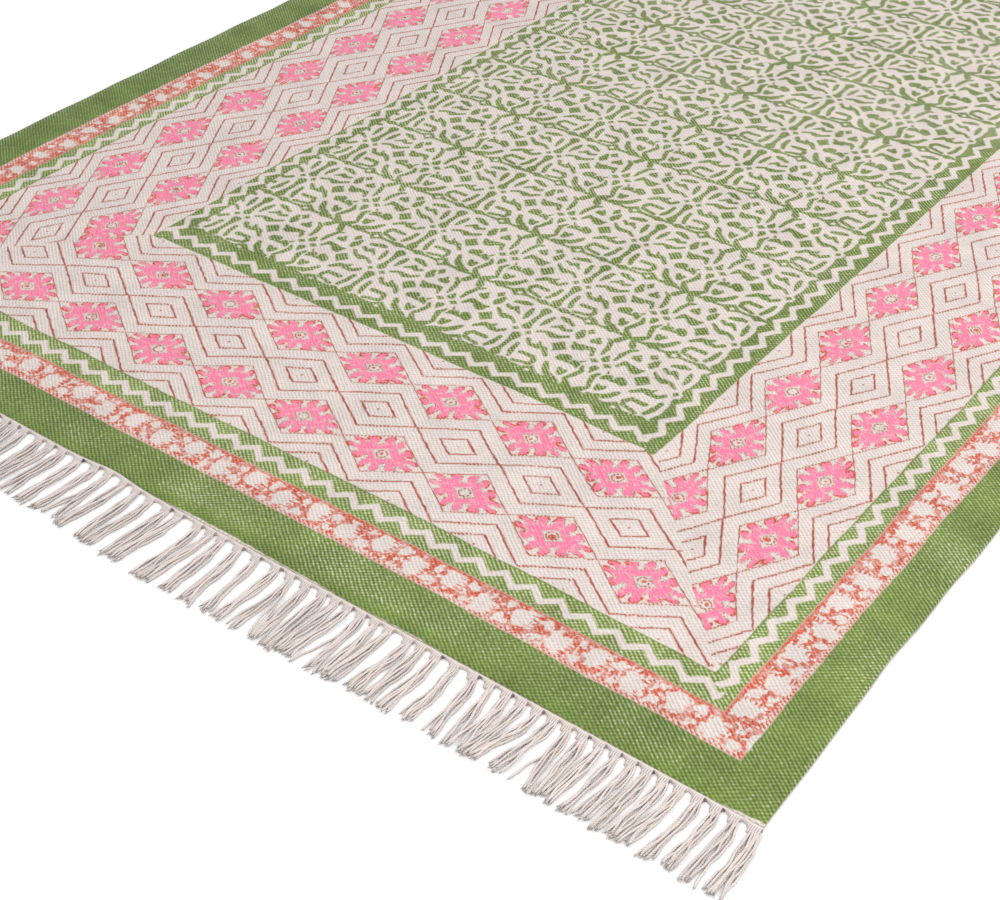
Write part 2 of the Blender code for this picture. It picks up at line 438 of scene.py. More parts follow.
class Graph:
    """Short calls that add nodes to a material and return their output sockets."""

    def __init__(self, name):
        self.material = bpy.data.materials.new(name)
        self.material.use_nodes = True
        self.tree = self.material.node_tree
        self.shader = self.tree.nodes["Principled BSDF"]

    def plug(self, value, socket):
        if isinstance(value, bpy.types.NodeSocket):
            self.tree.links.new(value, socket)
        elif socket.type == "VECTOR":
            socket.default_value = value[:3]
        else:
            socket.default_value = value

    def node(self, kind, inputs, output=0, **settings):
        """Adds a node of that kind, plugs its inputs and returns one of its output sockets."""
        node = self.tree.nodes.new("ShaderNode" + kind)
        for name, value in settings.items():
            setattr(node, name, value)
        for key, value in inputs.items():
            self.plug(value, node.inputs[key])
        return node.outputs[output]

    def math(self, operation, *values):
        return self.node("Math", dict(enumerate(values)), operation=operation)

    def vector(self, operation, *values, scale=None):
        inputs = dict(enumerate(values))
        if scale is not None:
            inputs["Scale"] = scale
        measured = operation in ("DOT_PRODUCT", "DISTANCE", "LENGTH")
        return self.node("VectorMath", inputs, "Value" if measured else "Vector", operation=operation)

    def affine(self, value, factor, more):
        """The value times the factor, and then more."""
        return self.math("MULTIPLY_ADD", value, factor, more)

    def plus(self, a, b):
        return self.math("ADD", a, b)

    def minus(self, a, b):
        return self.math("SUBTRACT", a, b)

    def times(self, a, b):
        return self.math("MULTIPLY", a, b)

    def over(self, a, b):
        return self.math("DIVIDE", a, b)

    def abs(self, value):
        return self.math("ABSOLUTE", value)

    def sign(self, value):
        return self.math("SIGN", value)

    def least(self, first, *others):
        for other in others:
            first = self.math("MINIMUM", first, other)
        return first

    def most(self, first, *others):
        for other in others:
            first = self.math("MAXIMUM", first, other)
        return first

    def clamp(self, value):
        """The value held between 0 and 1."""
        return self.node("Clamp", {0: value})

    def combine(self, x, y):
        return self.node("CombineXYZ", {0: x, 1: y})

    def separate(self, vector):
        x = self.node("SeparateXYZ", {0: vector})
        return x, x.node.outputs[1]

    def noise(self, place, size, detail=0.0, output="Fac"):
        """Soft noise from 0 to 1 with blots about so many mm across."""
        inputs = {"Vector": place, "Scale": 1.0 / size, "Detail": detail}
        return self.node("TexNoise", inputs, output, noise_dimensions="2D")

    def own_value(self, number):
        """A value from 0 to 1 that differs from one whole number to the next."""
        return self.node("TexWhiteNoise", {"W": number}, "Value", noise_dimensions="1D")

    def stray(self, at, size, reach, place):
        """The place moved by soft noise, by up to half of reach on each axis."""
        way = self.vector("SUBTRACT", self.noise(at, size, output="Color"), (0.5, 0.5, 0.5))
        return self.vector("MULTIPLY_ADD", way, (*reach, 0.0), place)

    def mix(self, factor, a, b):
        return self.node("Mix", {0: factor, 6: a, 7: b}, 2, data_type="RGBA")

    def choose(self, factor, a, b):
        """a where factor is 0, b where it is 1."""
        return self.node("Mix", {0: factor, 2: a, 3: b})

    def ramp(self, value, low, high):
        """0 at low and 1 at high, straight in between."""
        span = high - low
        return self.clamp(self.affine(value, 1 / span, -low / span))

    def uv(self, name):
        return self.node("UVMap", {}, uv_map=name)

    def finish(self, colour, shade, height, depth):
        """A matte surface of that shaded colour, with bumps of that depth in metres."""
        inputs = self.shader.inputs
        self.plug(self.vector("SCALE", colour, scale=shade), inputs["Base Color"])
        self.plug(self.node("Bump", {"Distance": depth, "Height": height}), inputs["Normal"])
        for name, value in MATTE.items():
            inputs[name].default_value = value
        return self.material


# Shapes: each gives the distance to its edge in mm, below zero inside


def stroke(g, place, points, shape):
    """Joins a stroke of changing width to a shape."""
    for (x0, y0, r0), (x1, y1, r1) in zip(points[:-1], points[1:]):
        run = Vector((x1 - x0, y1 - y0, 0.0))
        share = run / run.length_squared
        offset = g.vector("SUBTRACT", place, (x0, y0, 0.0))
        along = g.clamp(g.vector("DOT_PRODUCT", offset, share))
        reach = g.vector("DISTANCE", offset, g.vector("SCALE", tuple(run), scale=along))
        if r0 != r1:
            reach = g.affine(along, r0 - r1, reach)
        edge = g.minus(reach, float(r0))
        shape = edge if shape is None else g.least(shape, edge)
    return shape


def diamond(g, place, x, y, half_width, half_height):
    scale = half_width * half_height / math.hypot(half_width, half_height)
    offset = g.vector("ABSOLUTE", g.vector("SUBTRACT", place, (x, y, 0.0)))
    reach = g.vector("DOT_PRODUCT", offset, (scale / half_width, scale / half_height, 0.0))
    return g.minus(reach, scale)


def zigzag(g, along, across, pitch, tip, middle):
    """A zigzag line whose tips at tip lie on the far side of its middle line."""
    half = pitch / 2
    fold = g.math("PINGPONG", g.minus(along, tip), half)
    slope = ZIGZAG_HEIGHT / half
    off = g.minus(across, g.plus(middle, ZIGZAG_HEIGHT / 2))
    off = g.abs(g.affine(fold, slope, off))
    return g.affine(off, math.cos(math.atan(slope)), -ZIGZAG_HALF_LINE)


def outside(g, a, b):
    """Shape a less shape b."""
    return g.most(a, g.times(b, -1.0))


# The cloth's surface


def weave(g, place):
    """The height of the woven beads, from about -1 in the pits to 1 on the tops."""
    balance = g.affine(g.noise(place, RIBS_CHANGE_OVER), 0.5, 0.13)
    place = g.stray(place, *BEAD_STRAY, place)
    down = g.vector("DOT_PRODUCT", place, (math.pi / WARP_PITCH, math.pi / WEFT_PITCH, 0.0))
    up = g.vector("DOT_PRODUCT", place, (math.pi / WARP_PITCH, -math.pi / WEFT_PITCH, 0.0))
    beads = g.choose(balance, g.math("COSINE", down), g.math("COSINE", up))
    uneven = g.minus(g.noise(place, BEAD_UNEVEN_OVER), 0.5)
    return g.affine(uneven, BEAD_UNEVEN, beads)


def warped(g, flat):
    """The place that the block printed there: hand printing strays a little."""
    return g.stray(flat, *EDGE_STRAY, g.stray(flat, *BLOCK_STRAY, flat))


def inked(g, edge, beads, soft=0.55, catch=0.45):
    """How much ink lies there: the bead tops catch it a little past the shape's edge."""
    edge = g.affine(beads, -catch, edge)
    return g.ramp(edge, soft, -soft)


def finish_cloth(g, place, beads, inks=(), extra_wear=None):
    """Lays the inks over the cream yarn, each worn on the bead tops, and paints the weave's shade and
    highlight into the colour.

    Each ink comes with its cover, its colour and its relief: how strongly the beads' painted shade marks
    it and how much the beads wear it.
    """
    wear = g.affine(g.noise(place, WEAR_BLOTS, 1.0), 1.0, g.noise(place, WEAR_SPOTS))
    if extra_wear is not None:
        wear = g.plus(wear, extra_wear)
    crown = g.ramp(beads, -0.1, 1.05)
    loss = g.affine(g.ramp(wear, RUBBED_FROM, RUBBED_FULL), LOSS_RUBBED, LOSS_EVERYWHERE)
    loss = g.times(crown, loss)
    colour = linear(CREAM)
    relief = CREAM_RELIEF
    for cover, ink, own_relief in inks:
        hold = g.affine(loss, -own_relief, 1.0)
        colour = g.mix(g.times(cover, hold), colour, linear(ink))
        relief = g.choose(cover, relief, own_relief)
    # Painted shade and highlight of the weave: the pits darker and the bead tops lighter in the colour
    lit = g.affine(g.ramp(beads, -1.0, 1.1), TOP_TO_PIT, PIT_SHADE)
    shade = g.affine(lit, relief, 1.0)
    streaks = g.noise(g.vector("MULTIPLY", place, STREAK_SQUEEZE), 1.0, 1.0)
    blots = g.noise(place, DYE_BLOTS, 2.0)
    swing = g.affine(relief, 0.70, -0.06)
    shade = g.affine(g.minus(streaks, 0.5), STREAK_SHADE, shade)
    shade = g.affine(g.minus(blots, 0.5), swing, shade)
    return g.finish(colour, shade, g.affine(beads, 0.5, 0.5), BEAD_DEPTH)


def print_place(g):
    return g.vector("SCALE", g.uv("print"), scale=1000.0)


def turned(g, x, y):
    """The same place seen from the front half: the back half is the front half turned."""
    turn = g.times(g.sign(y), -1.0)
    return g.times(x, turn), g.times(y, turn)


def print_graph(name):
    """A graph, its flat place, the weave there, the printed place as it is and as seen from the
    front half, and the side: 1 on the right, -1 on the left."""
    g = Graph(name)
    flat = print_place(g)
    beads = weave(g, flat)
    x, y = g.separate(warped(g, flat))
    return g, flat, beads, (x, y), turned(g, x, y), g.sign(x)


def side_run(g, y, way, stretch, shift, start):
    """The way along a long side for its zigzag, which differs a little between the two sides."""
    run = g.times(y, g.affine(way, stretch, 1.0))
    return g.minus(run, g.affine(way, shift, start))


def leaf_row(g, flat, along, across):
    """A row of leaves with toothed crowns, by turns nearer one edge, with leaflets between them."""
    step = g.over(g.minus(along, LEAF_PHASE), LEAF_PITCH)
    turn = g.sign(g.math("COSINE", g.times(step, math.pi)))
    between = g.sign(g.math("SINE", g.times(step, math.pi)))
    local = g.math("WRAP", g.minus(along, LEAF_PHASE), LEAF_PITCH / 2, -LEAF_PITCH / 2)
    aside = g.minus(across, g.affine(turn, LEAF_STEP, LEAF_MIDDLE))
    body = g.combine(g.affine(local, 1 / LEAF_HALF_ALONG, 0.15), g.over(aside, LEAF_HALF_ACROSS))
    leaf = g.affine(g.vector("LENGTH", body), LEAF_HALF_ALONG, -LEAF_HALF_ALONG)
    tooth = g.affine(g.math("PINGPONG", aside, LEAF_TOOTH / 2), 3.0, -LEAF_TOOTH / 4 * 3.0)
    leaf = g.affine(g.ramp(local, 0.0, 6.0), tooth, leaf)
    far = g.minus(g.abs(local), LEAF_PITCH / 2)
    for lane, half_along, half_across in LEAFLETS:
        off = g.minus(across, g.affine(between, lane, LEAFLET_MIDDLE))
        place = g.combine(g.over(far, half_along), g.over(off, half_across))
        leaflet = g.affine(g.vector("LENGTH", place), half_along, -half_along)
        leaf = g.least(leaf, leaflet)
    ragged = g.minus(g.noise(flat, 7.0, 1.2), 0.5)
    leaf = g.affine(ragged, LEAF_RAGGED, leaf)
    specks = g.affine(g.noise(flat, 4.6, 1.2), -20.0, 11.9)
    return g.least(leaf, specks)


def border_material():
    """The green hem, the leaf band and the outer zigzag."""
    g, flat, beads, (x, y), (front_x, front_y), way = print_graph("printed_border")
    side = g.abs(x)
    end = g.abs(y)

    # The leaf band runs right across at the ends, and the side bands butt on it
    past_end = g.minus(end, LEAF_END)
    past_side = g.minus(side, LEAF_SIDE)
    at_end = g.math("GREATER_THAN", past_end, 0.0)
    band = g.most(past_end, past_side)
    out = g.most(g.minus(end, HEM_END), g.minus(side, HEM_SIDE))
    along = g.choose(at_end, y, front_x)
    across = g.choose(at_end, past_side, past_end)
    rim = g.minus(across, RIM_OUTER)
    leaves = leaf_row(g, flat, along, across)
    leaves = g.affine(g.ramp(x, -500.0, -520.0), 1.6, leaves)
    cream = g.most(leaves, g.minus(RIM_INNER, across), rim)
    edge = g.most(g.minus(0.0, band), out, g.minus(0.0, cream))
    thin = g.ramp(g.noise(flat, 9.0, 1.0), 0.36, 0.58)
    thin = g.affine(thin, 0.30, 0.70)
    dots = g.times(g.ramp(rim, -2.2, -0.2), g.ramp(beads, -0.45, 0.35))
    thin = g.affine(dots, -0.62, thin)
    terracotta = g.times(inked(g, edge, beads, 0.6, 0.8), thin)

    # The green strip with its zigzag
    line_end = zigzag(g, front_x, front_y, ZIGZAG_PITCH_END, OUTER_TIP_END, -OUTER_ZIGZAG_END)
    line_end = g.most(line_end, g.minus(side, 512.5), g.minus(793.0, end))
    run = side_run(g, y, way, *OUTER_RUN)
    line_side = zigzag(g, run, side, OUTER_ZIGZAG_PITCH, 0.0, OUTER_ZIGZAG_SIDE)
    line_side = g.most(line_side, g.minus(end, 801.0), g.minus(497.0, side))
    line = g.least(line_end, line_side)
    strip = g.most(band, g.minus(0.0, line))

    # The green hem, which stops short of the cloth's end here and there
    corner = g.ramp(front_x, PRINT_LIMIT_CORNER_FROM, 600.0)
    dent = g.ramp(g.abs(g.plus(front_x, 45.0)), 35.0, 0.0)
    limit = g.affine(corner, PRINT_LIMIT_CORNER, g.minus(end, PRINT_LIMIT))
    limit = g.affine(dent, PRINT_LIMIT_DENT, limit)
    hem = g.most(g.minus(0.0, out), limit)
    green = inked(g, g.least(strip, hem), beads)
    on_strip = g.ramp(band, 1.0, -1.0)
    worn = g.times(g.ramp(side, 594.0, 600.0), SELVEDGE_WORN)
    worn = g.affine(on_strip, STRIP_WORN, worn)
    worn = g.affine(g.ramp(end, 886.0, 894.0), HEM_END_WORN, worn)
    # The end's hem is rubbed right of its middle
    rubbed = g.times(g.ramp(front_x, -60.0, 20.0), g.ramp(front_x, 420.0, 300.0))
    rubbed = g.times(g.ramp(end, 853.0, 856.0), rubbed)
    worn = g.affine(rubbed, HEM_RUBBED, worn)
    # The hem's green is darker on the left and at the front corner, and painted shade darkens it where
    # the hem turns down at its end
    on_left = g.times(g.ramp(x, 10.0, -90.0), 0.40)
    on_left = g.affine(g.ramp(x, -500.0, -560.0), 0.15, on_left)
    at_corner = g.ramp(g.vector("DISTANCE", flat, (470.0, -875.0, 0.0)), 150.0, 60.0)
    at_corner = g.times(at_corner, 0.40)
    # Painted shade where the hem turns down at its end
    turned_down_shade = g.times(g.ramp(end, 888.0, 899.0), 0.40)
    darker_green = g.times(green, g.most(on_left, at_corner, turned_down_shade))
    darker_green = g.minus(darker_green, g.times(darker_green, on_strip))
    inks = (
        (g.minus(green, g.times(green, on_strip)), GREEN, GREEN_RELIEF),
        (g.times(green, on_strip), STRIP_GREEN, GREEN_RELIEF),
        (darker_green, HEM_GREEN, GREEN_RELIEF),
        (terracotta, TERRACOTTA, TERRACOTTA_RELIEF),
    )
    return finish_cloth(g, flat, beads, inks, worn)


def band_material():
    """The cream band with pink medallions between nested diamonds and chevrons."""
    g, flat, beads, (x, y), (front_x, front_y), way = print_graph("printed_medallion_band")
    side = g.abs(x)
    end = g.abs(y)

    # Each corner is cut along its diagonal
    to_side = g.over(g.minus(side, INNER_SIDE), BAND_SIDE - INNER_SIDE)
    to_end = g.over(g.minus(end, INNER_END), BAND_END - INNER_END)
    at_end = g.math("GREATER_THAN", to_end, to_side)

    # Offsets from the nearest nest of diamonds, in the end band's measure
    half = BAND_PITCH / 2
    end_a = g.math("WRAP", g.minus(front_x, BAND_PHASE_END), half, -half)
    end_c = g.affine(front_x, -BAND_SLANT, g.plus(front_y, BAND_MIDDLE_END))
    phase = g.affine(way, -BAND_PHASE_SHIFT, BAND_PHASE_SIDE)
    half_side = BAND_PITCH_SIDE / 2
    side_a = g.math("WRAP", g.minus(y, phase), half_side, -half_side)
    side_a = g.times(side_a, BAND_PITCH / BAND_PITCH_SIDE)
    side_c = g.minus(side, BAND_MIDDLE_SIDE)
    side_c = g.times(side_c, BAND_ROW / BAND_ROW_SIDE)
    side_lean = g.times(g.sign(side_c), way)
    a = g.choose(at_end, side_a, end_a)
    c = g.choose(at_end, side_c, end_c)
    lean = g.times(g.sign(a), g.choose(at_end, side_lean, g.sign(end_c)))
    a = g.abs(a)
    c = g.abs(c)

    # Thin lines: all run at one slope, either away from the middle line or towards it.
    # Those that cross the weave's ribs print as dots, the others nearly unbroken.
    rise = g.times(a, LINE_SLOPE)
    away = g.minus(c, rise)
    towards = g.plus(c, rise)
    outward = g.least(*(g.abs(g.minus(away, at)) for at in (64.0, 80.0)))
    inward = g.least(*(g.abs(g.minus(towards, at)) for at in (13.2, 30.0)))
    thin_out = g.plus(g.abs(g.minus(away, BAND_ROW)), 0.55)
    thin_in = g.plus(g.abs(g.minus(towards, BAND_ROW)), 0.55)
    outward = g.least(outward, thin_out)
    inward = g.least(inward, thin_in)
    crossing = g.math("GREATER_THAN", lean, 0.0)
    level = math.cos(math.atan(LINE_SLOPE))
    dotted = g.affine(g.choose(crossing, inward, outward), level, -DOTTED_HALF)
    lines = g.affine(g.choose(crossing, outward, inward), level, -LINE_HALF)

    # Dots in the middle of each nest and at the green edge
    spot = g.combine(a, c)
    lines = g.least(lines, g.minus(g.vector("LENGTH", spot), 1.0))
    lines = g.least(lines, g.minus(g.vector("DISTANCE", spot, (0, 94.5, 0)), 1.0))

    # A quarter of a medallion: its body and arms, less the notches between them
    m = g.combine(g.minus(half, a), g.abs(g.minus(c, BAND_ROW)))
    shape = diamond(g, m, 0, 0, 26, 19.5)
    for points in MEDALLION_ARMS:
        shape = stroke(g, m, points, shape)
    notch = None
    for points in MEDALLION_NOTCHES:
        notch = stroke(g, m, points, notch)
    frame_edge = diamond(g, m, 0, 0, 46, 30.5)
    shape = g.most(outside(g, shape, notch), g.plus(frame_edge, 0.6))
    shape = g.plus(shape, 1.2)
    eye = diamond(g, m, 0, 0, 12.3, 9.3)
    from_middle = g.vector("LENGTH", m)
    ring = g.minus(from_middle, 5.0)
    ring = g.minus(g.abs(ring), 0.5)
    filled = outside(g, shape, eye)
    outline = g.minus(g.abs(g.minus(filled, 0.35)), 0.2)
    thin = g.ramp(g.noise(flat, 5.5, 2.0), 0.50, 0.75)
    pink = inked(g, filled, beads, 0.6, 0.5)
    pink = g.times(pink, g.affine(thin, -0.45, 1.0))

    # The terracotta under the pink shows at the tips of the arms, more in one place than another
    peek = g.minus(g.noise(flat, 15.0, 1.0), 0.5)
    under = g.most(g.minus(shape, 1.5), g.minus(-6.0, frame_edge), g.minus(0.0, eye))
    under = g.affine(peek, -9.0, g.plus(under, 0.4))
    under = g.most(under, frame_edge, g.minus(shape, 2.2))
    heart = g.affine(peek, -10.0, g.minus(from_middle, 1.1))
    terracotta = inked(g, g.least(under, heart), beads, 0.4, 0.5)
    faint = g.minus(g.noise(flat, 9.0, 1.0), 0.5)
    lines = g.affine(faint, 1.1, lines)
    dotted = g.affine(faint, 1.2, g.least(dotted, ring, outline))
    red = g.most(inked(g, lines, beads, 0.4, 0.4), inked(g, dotted, beads, 0.45, 1.3))

    # The green on both sides
    green_edge = g.minus(0.0, g.most(g.minus(side, BAND_SIDE), g.minus(end, BAND_END)))
    spike = g.times(g.math("GREATER_THAN", side, 301.0), INNER_END - INNER_SPIKE)
    inner_end = g.plus(g.minus(end, INNER_END), spike)
    inner = g.most(g.minus(side, INNER_SIDE), inner_end)
    green = inked(g, g.least(green_edge, inner), beads)
    inks = (
        (red, LINE_RED, TERRACOTTA_RELIEF),
        (terracotta, TERRACOTTA, TERRACOTTA_RELIEF),
        (pink, PINK, PINK_RELIEF),
        (green, GREEN, GREEN_RELIEF),
    )
    return finish_cloth(g, flat, beads, inks)


def field_material():
    """The inner zigzag and the green lattice of the field."""
    g, flat, beads, (x, y), (front_x, front_y), way = print_graph("printed_field")
    end = g.abs(y)
    fold_x = g.math("PINGPONG", g.minus(x, LATTICE_X), LATTICE_WIDTH)
    fold_y = g.math("FLOORED_MODULO", g.minus(y, LATTICE_Y), LATTICE_HEIGHT)
    spot = g.combine(fold_x, fold_y)
    shape = None
    for shift in (-LATTICE_HEIGHT, 0.0, LATTICE_HEIGHT):
        for points in LATTICE_STROKES:
            moved = [(px, py + shift, r + LATTICE_SPREAD) for px, py, r in points]
            low = min(py - r for px, py, r in moved)
            high = max(py + r for px, py, r in moved)
            if high > 0 and low < LATTICE_HEIGHT:
                shape = stroke(g, spot, moved, shape)
        for px, py, half_width, half_height in LATTICE_DIAMONDS:
            if py + shift + half_height > 0 and py + shift - half_height < LATTICE_HEIGHT:
                piece = diamond(g, spot, px, py + shift, half_width, half_height)
                shape = g.least(shape, piece)
    hole = g.minus(g.vector("DISTANCE", spot, (42.5, 0, 0)), 2.5)
    hole_above = g.minus(g.vector("DISTANCE", spot, (42.5, LATTICE_HEIGHT, 0)), 2.5)
    shape = outside(g, shape, g.least(hole, hole_above))

    # The green margin with its zigzag
    past = g.most(g.minus(x, FIELD_RIGHT), g.minus(FIELD_LEFT, x), g.minus(end, FIELD_END))
    line_end = zigzag(g, front_x, front_y, ZIGZAG_PITCH_END, INNER_TIP_END, -INNER_ZIGZAG_END)
    line_end = g.most(line_end, g.minus(front_x, 297.0), g.minus(570.0, end))
    run = side_run(g, y, way, *INNER_RUN)
    middle = g.affine(way, 299.4, -4.0)
    line_side = zigzag(g, run, x, INNER_ZIGZAG_PITCH, 0.0, middle)
    off_side = g.minus(285.0, g.abs(g.plus(x, 4.0)))
    line_side = g.most(line_side, g.minus(end, 583.0), off_side)
    line = g.least(line_end, line_side)
    margin = g.most(g.minus(0.0, past), g.minus(0.0, line))
    clipped = g.most(shape, g.minus(past, 1.2))
    green = inked(g, g.least(clipped, margin), beads, 0.5, 0.8)
    return finish_cloth(g, flat, beads, ((green, FIELD_GREEN, GREEN_RELIEF),), FIELD_WORN)


def web_material():
    """The unprinted cream web of the sides and the underside, its colour darkened by painted shade."""
    g = Graph("unprinted_web")
    flat = print_place(g)
    return finish_cloth(g, flat, weave(g, flat), ((1.0, SHADED_WEB, CREAM_RELIEF),))


# The cloth's mesh

CELL = 0.0075
TOP_INSET = 0.0014
# Rings round the rim, from the top down: inset from the edge and height, in metres
RIM = (
    (0.0005, 0.00385),
    (0.0001, 0.00340),
    (0.0000, 0.00260),
    (0.0000, 0.00125),
    (0.0003, 0.00035),
)
BOTTOM_INSET = 0.0010


def marks(low, high, cuts):
    """Grid lines from low to high at about one cell's spacing, with one on each cut."""
    stops = [low, *sorted(cuts), high]
    lines = []
    for a, b in zip(stops[:-1], stops[1:]):
        count = max(round((b - a) / CELL), 1)
        lines += [a + (b - a) * i / count for i in range(count)]
    return [*lines, high]


def swell(x, y):
    """How far the cloth's face rises over its plain height there."""
    wide = noise.noise(Vector((x / 0.16, y / 0.16, 0.3)))
    fine = noise.noise(Vector((x / 0.05, y / 0.05, 4.7)))
    return 0.0005 * wide + 0.00022 * fine


def wander(at, seed):
    """How far an edge strays from its line there."""
    return 0.0004 * noise.noise(Vector((at / 0.035, seed, 0.0)))


def make_cloth():
    half_w, half_l = WIDTH / 2, LENGTH / 2
    cuts_u = [BAND_SIDE + BAND_CUT, INNER_SIDE - INNER_CUT]
    cuts_v = [BAND_END + BAND_CUT, INNER_END - INNER_CUT]
    us = marks(-half_w, half_w, [s * c * MM for c in cuts_u for s in (-1, 1)])
    vs = marks(-half_l, half_l, [s * c * MM for c in cuts_v for s in (-1, 1)])
    nu, nv = len(us), len(vs)

    def place(i, j):
        """A grid corner's place on the floor plan, its print coordinates and its outward way."""
        u, v = us[i], vs[j]
        dx, dy = print_shift(u, v)
        x, y = u + dx, v + dy
        out_x = (i == nu - 1) - (i == 0)
        out_y = (j == nv - 1) - (j == 0)
        if out_x == 1:
            x = side_x(half_l + v) + side_ripple(half_l + v) + wander(v, 1.0)
        if out_x == -1:
            x = -side_x(half_l - v) - side_ripple(half_l - v) + wander(v, 2.0)
        if out_y == -1:
            y = end_y(x) + wander(x, 3.0) * 0.5
        if out_y == 1:
            y = -end_y(-x) + wander(x, 4.0) * 0.5
        return x, y, x - dx, y - dy, out_x, out_y

    mesh = bmesh.new()
    layer = mesh.loops.layers.uv.new("print")
    coords = {}

    def add(i, j, inset, height, rise):
        x, y, u, v, out_x, out_y = place(i, j)
        x -= out_x * inset
        y -= out_y * inset
        z = height + (swell(x, y) if rise else 0.0)
        vert = mesh.verts.new((x, y, z))
        coords[vert] = (u - out_x * inset, v - out_y * inset)
        return vert

    top = [[add(i, j, TOP_INSET, THICKNESS, True) for i in range(nu)] for j in range(nv)]
    bottom = [[add(i, j, BOTTOM_INSET, 0.0, False) for i in range(nu)] for j in range(nv)]
    rim = [(i, 0) for i in range(nu - 1)] + [(nu - 1, j) for j in range(nv - 1)]
    rim += [(i, nv - 1) for i in range(nu - 1, 0, -1)] + [(0, j) for j in range(nv - 1, 0, -1)]
    rings = [[top[j][i] for i, j in rim]]
    for inset, height in RIM:
        rings.append([add(i, j, inset, height, height > 0.002) for i, j in rim])
    rings.append([bottom[j][i] for i, j in rim])

    def face(verts, slot):
        made = mesh.faces.new(verts)
        made.material_index = slot
        made.smooth = True
        for loop in made.loops:
            loop[layer].uv = coords[loop.vert]

    for j in range(nv - 1):
        for i in range(nu - 1):
            mid_u = abs(us[i] + us[i + 1]) / 2
            mid_v = abs(vs[j] + vs[j + 1]) / 2
            in_field = mid_u < cuts_u[1] * MM and mid_v < cuts_v[1] * MM
            in_band = mid_u < cuts_u[0] * MM and mid_v < cuts_v[0] * MM
            slot = 2 if in_field else 1 if in_band else 0
            corners = ((i, j), (i + 1, j), (i + 1, j + 1), (i, j + 1))
            face([top[b][a] for a, b in corners], slot)
            face([bottom[b][a] for a, b in reversed(corners)], 3)
    for number, (upper, lower) in enumerate(zip(rings[:-1], rings[1:])):
        for k in range(len(rim)):
            n = (k + 1) % len(rim)
            face((lower[k], lower[n], upper[n], upper[k]), 0 if number < 2 else 3)

    materials = (border_material(), band_material(), field_material(), web_material())
    return new_object("printed_cloth", mesh, materials)


# Fringes


def lock_places():
    """Each tassel's root X and how far its tip lies to the right, from the right-hand corner on."""
    places = []
    x = FIRST_ROOT
    row = 0
    while True:
        count, spacing, space, lean_first, lean_last = CLUMPS[row % len(CLUMPS)]
        for i in range(count):
            if x < LAST_ROOT:
                return places
            lean = lean_first + (lean_last - lean_first) * i / (count - 1)
            places.append((x, lean * MM))
            x -= (spacing if i < count - 1 else space) * MM
        row += 1


def lock_reach(index, x):
    """A tassel's length from the strip to its tip."""
    return LOCK_REACH + hump(x, *LONGER) + UNEVEN_TIPS * math.sin(UNEVEN_STEP * index)


def lock_x(root, lean, share):
    """Where a tassel's middle lies at a share of its reach: it swings right, then comes back."""
    return root + lean * share + SWAY * math.sin(math.pi * math.sqrt(share))


YARN_RADIUS = 0.00102
YARN_SIDES = 6
YARN_RINGS = 17
YARNS = 8
CORNER_YARNS = 13
YARN_NEST = 1.75
BUNDLE_WIDTH = 0.0069
CORNER_WIDTH = 0.0106
ROOT_SHIFT = 0.0020
TIP_BACK = 0.0029
TIPS_UNEVEN = (-0.0040, 0.0018)
WAVE_TURNS = (0.5, 1.5)
YARN_DRIFT = 0.0022
YARN_WAVE = 0.00115
YARN_RIPPLE = 0.00040
TWIST_PITCH = 2.2  # mm

# The web's necks, from each root outwards: a steep right side and a rounded left shoulder
NECK_LEFT = 0.0030
NECK_RIGHT = 0.0042
NECK_LENGTH = 0.0068
NECK_RIB_PITCH = 1.9  # mm
CORNER_NECK_MORE = 0.0018
SHOULDER = 0.0056
CREASE = 0.0015
STRIP_STEP = 0.0007
ROOT_STEP = 0.1  # from one root to the next in the web's own coordinates
WEB_SHOWS = 0.0019
# The web's profile from the cloth outwards: shares of its depth and of its height
WEB_PROFILE = (
    (0.00, 0.90),
    (0.10, 1.00),
    (0.30, 1.02),
    (0.50, 0.96),
    (0.70, 0.86),
    (0.85, 0.76),
    (0.95, 0.60),
    (1.00, 0.36),
    (0.985, 0.0),
)


class FringeMesh:
    """Collects one fringe's verts and faces with their yarn coordinates."""

    def __init__(self, turned_round):
        self.mesh = bmesh.new()
        self.layer = self.mesh.loops.layers.uv.new("yarn")
        self.flip = -1 if turned_round else 1

    def vert(self, x, y, z):
        return self.mesh.verts.new((self.flip * x, self.flip * y, z))

    def face(self, verts, uvs, slot):
        made = self.mesh.faces.new(verts)
        made.material_index = slot
        made.smooth = True
        for loop, uv in zip(made.loops, uvs):
            loop[self.layer].uv = uv

    def tube(self, path, radii, number, sides=YARN_SIDES, squash=1.0):
        """A closed yarn along a path. U holds the yarn's number and the share round it, V the length."""
        rings = []
        length = 0.0
        lengths = []
        for k, point in enumerate(path):
            before = path[max(k - 1, 0)]
            after = path[min(k + 1, len(path) - 1)]
            way = (after - before).normalized()
            right = way.cross(Vector((0, 0, 1))).normalized()
            up = right.cross(way)
            if k:
                length += (point - path[k - 1]).length
            lengths.append(length)
            ring = []
            for s in range(sides):
                turn = 2 * math.pi * s / sides
                offset = right * math.cos(turn) + up * math.sin(turn) * squash
                ring.append(self.vert(*(point + offset * radii[k])))
            rings.append(ring)
        for k in range(len(path) - 1):
            for s in range(sides):
                n = (s + 1) % sides
                corners = (rings[k][s], rings[k][n], rings[k + 1][n], rings[k + 1][s])
                low, high = number + s / sides, number + (s + 1) / sides
                spots = ((low, k), (high, k), (high, k + 1), (low, k + 1))
                self.face(corners, [(u, lengths[ring]) for u, ring in spots], 0)
        self.face(list(reversed(rings[0])), [(number, 0.0)] * sides, 0)
        self.face(rings[-1], [(number, length)] * sides, 0)


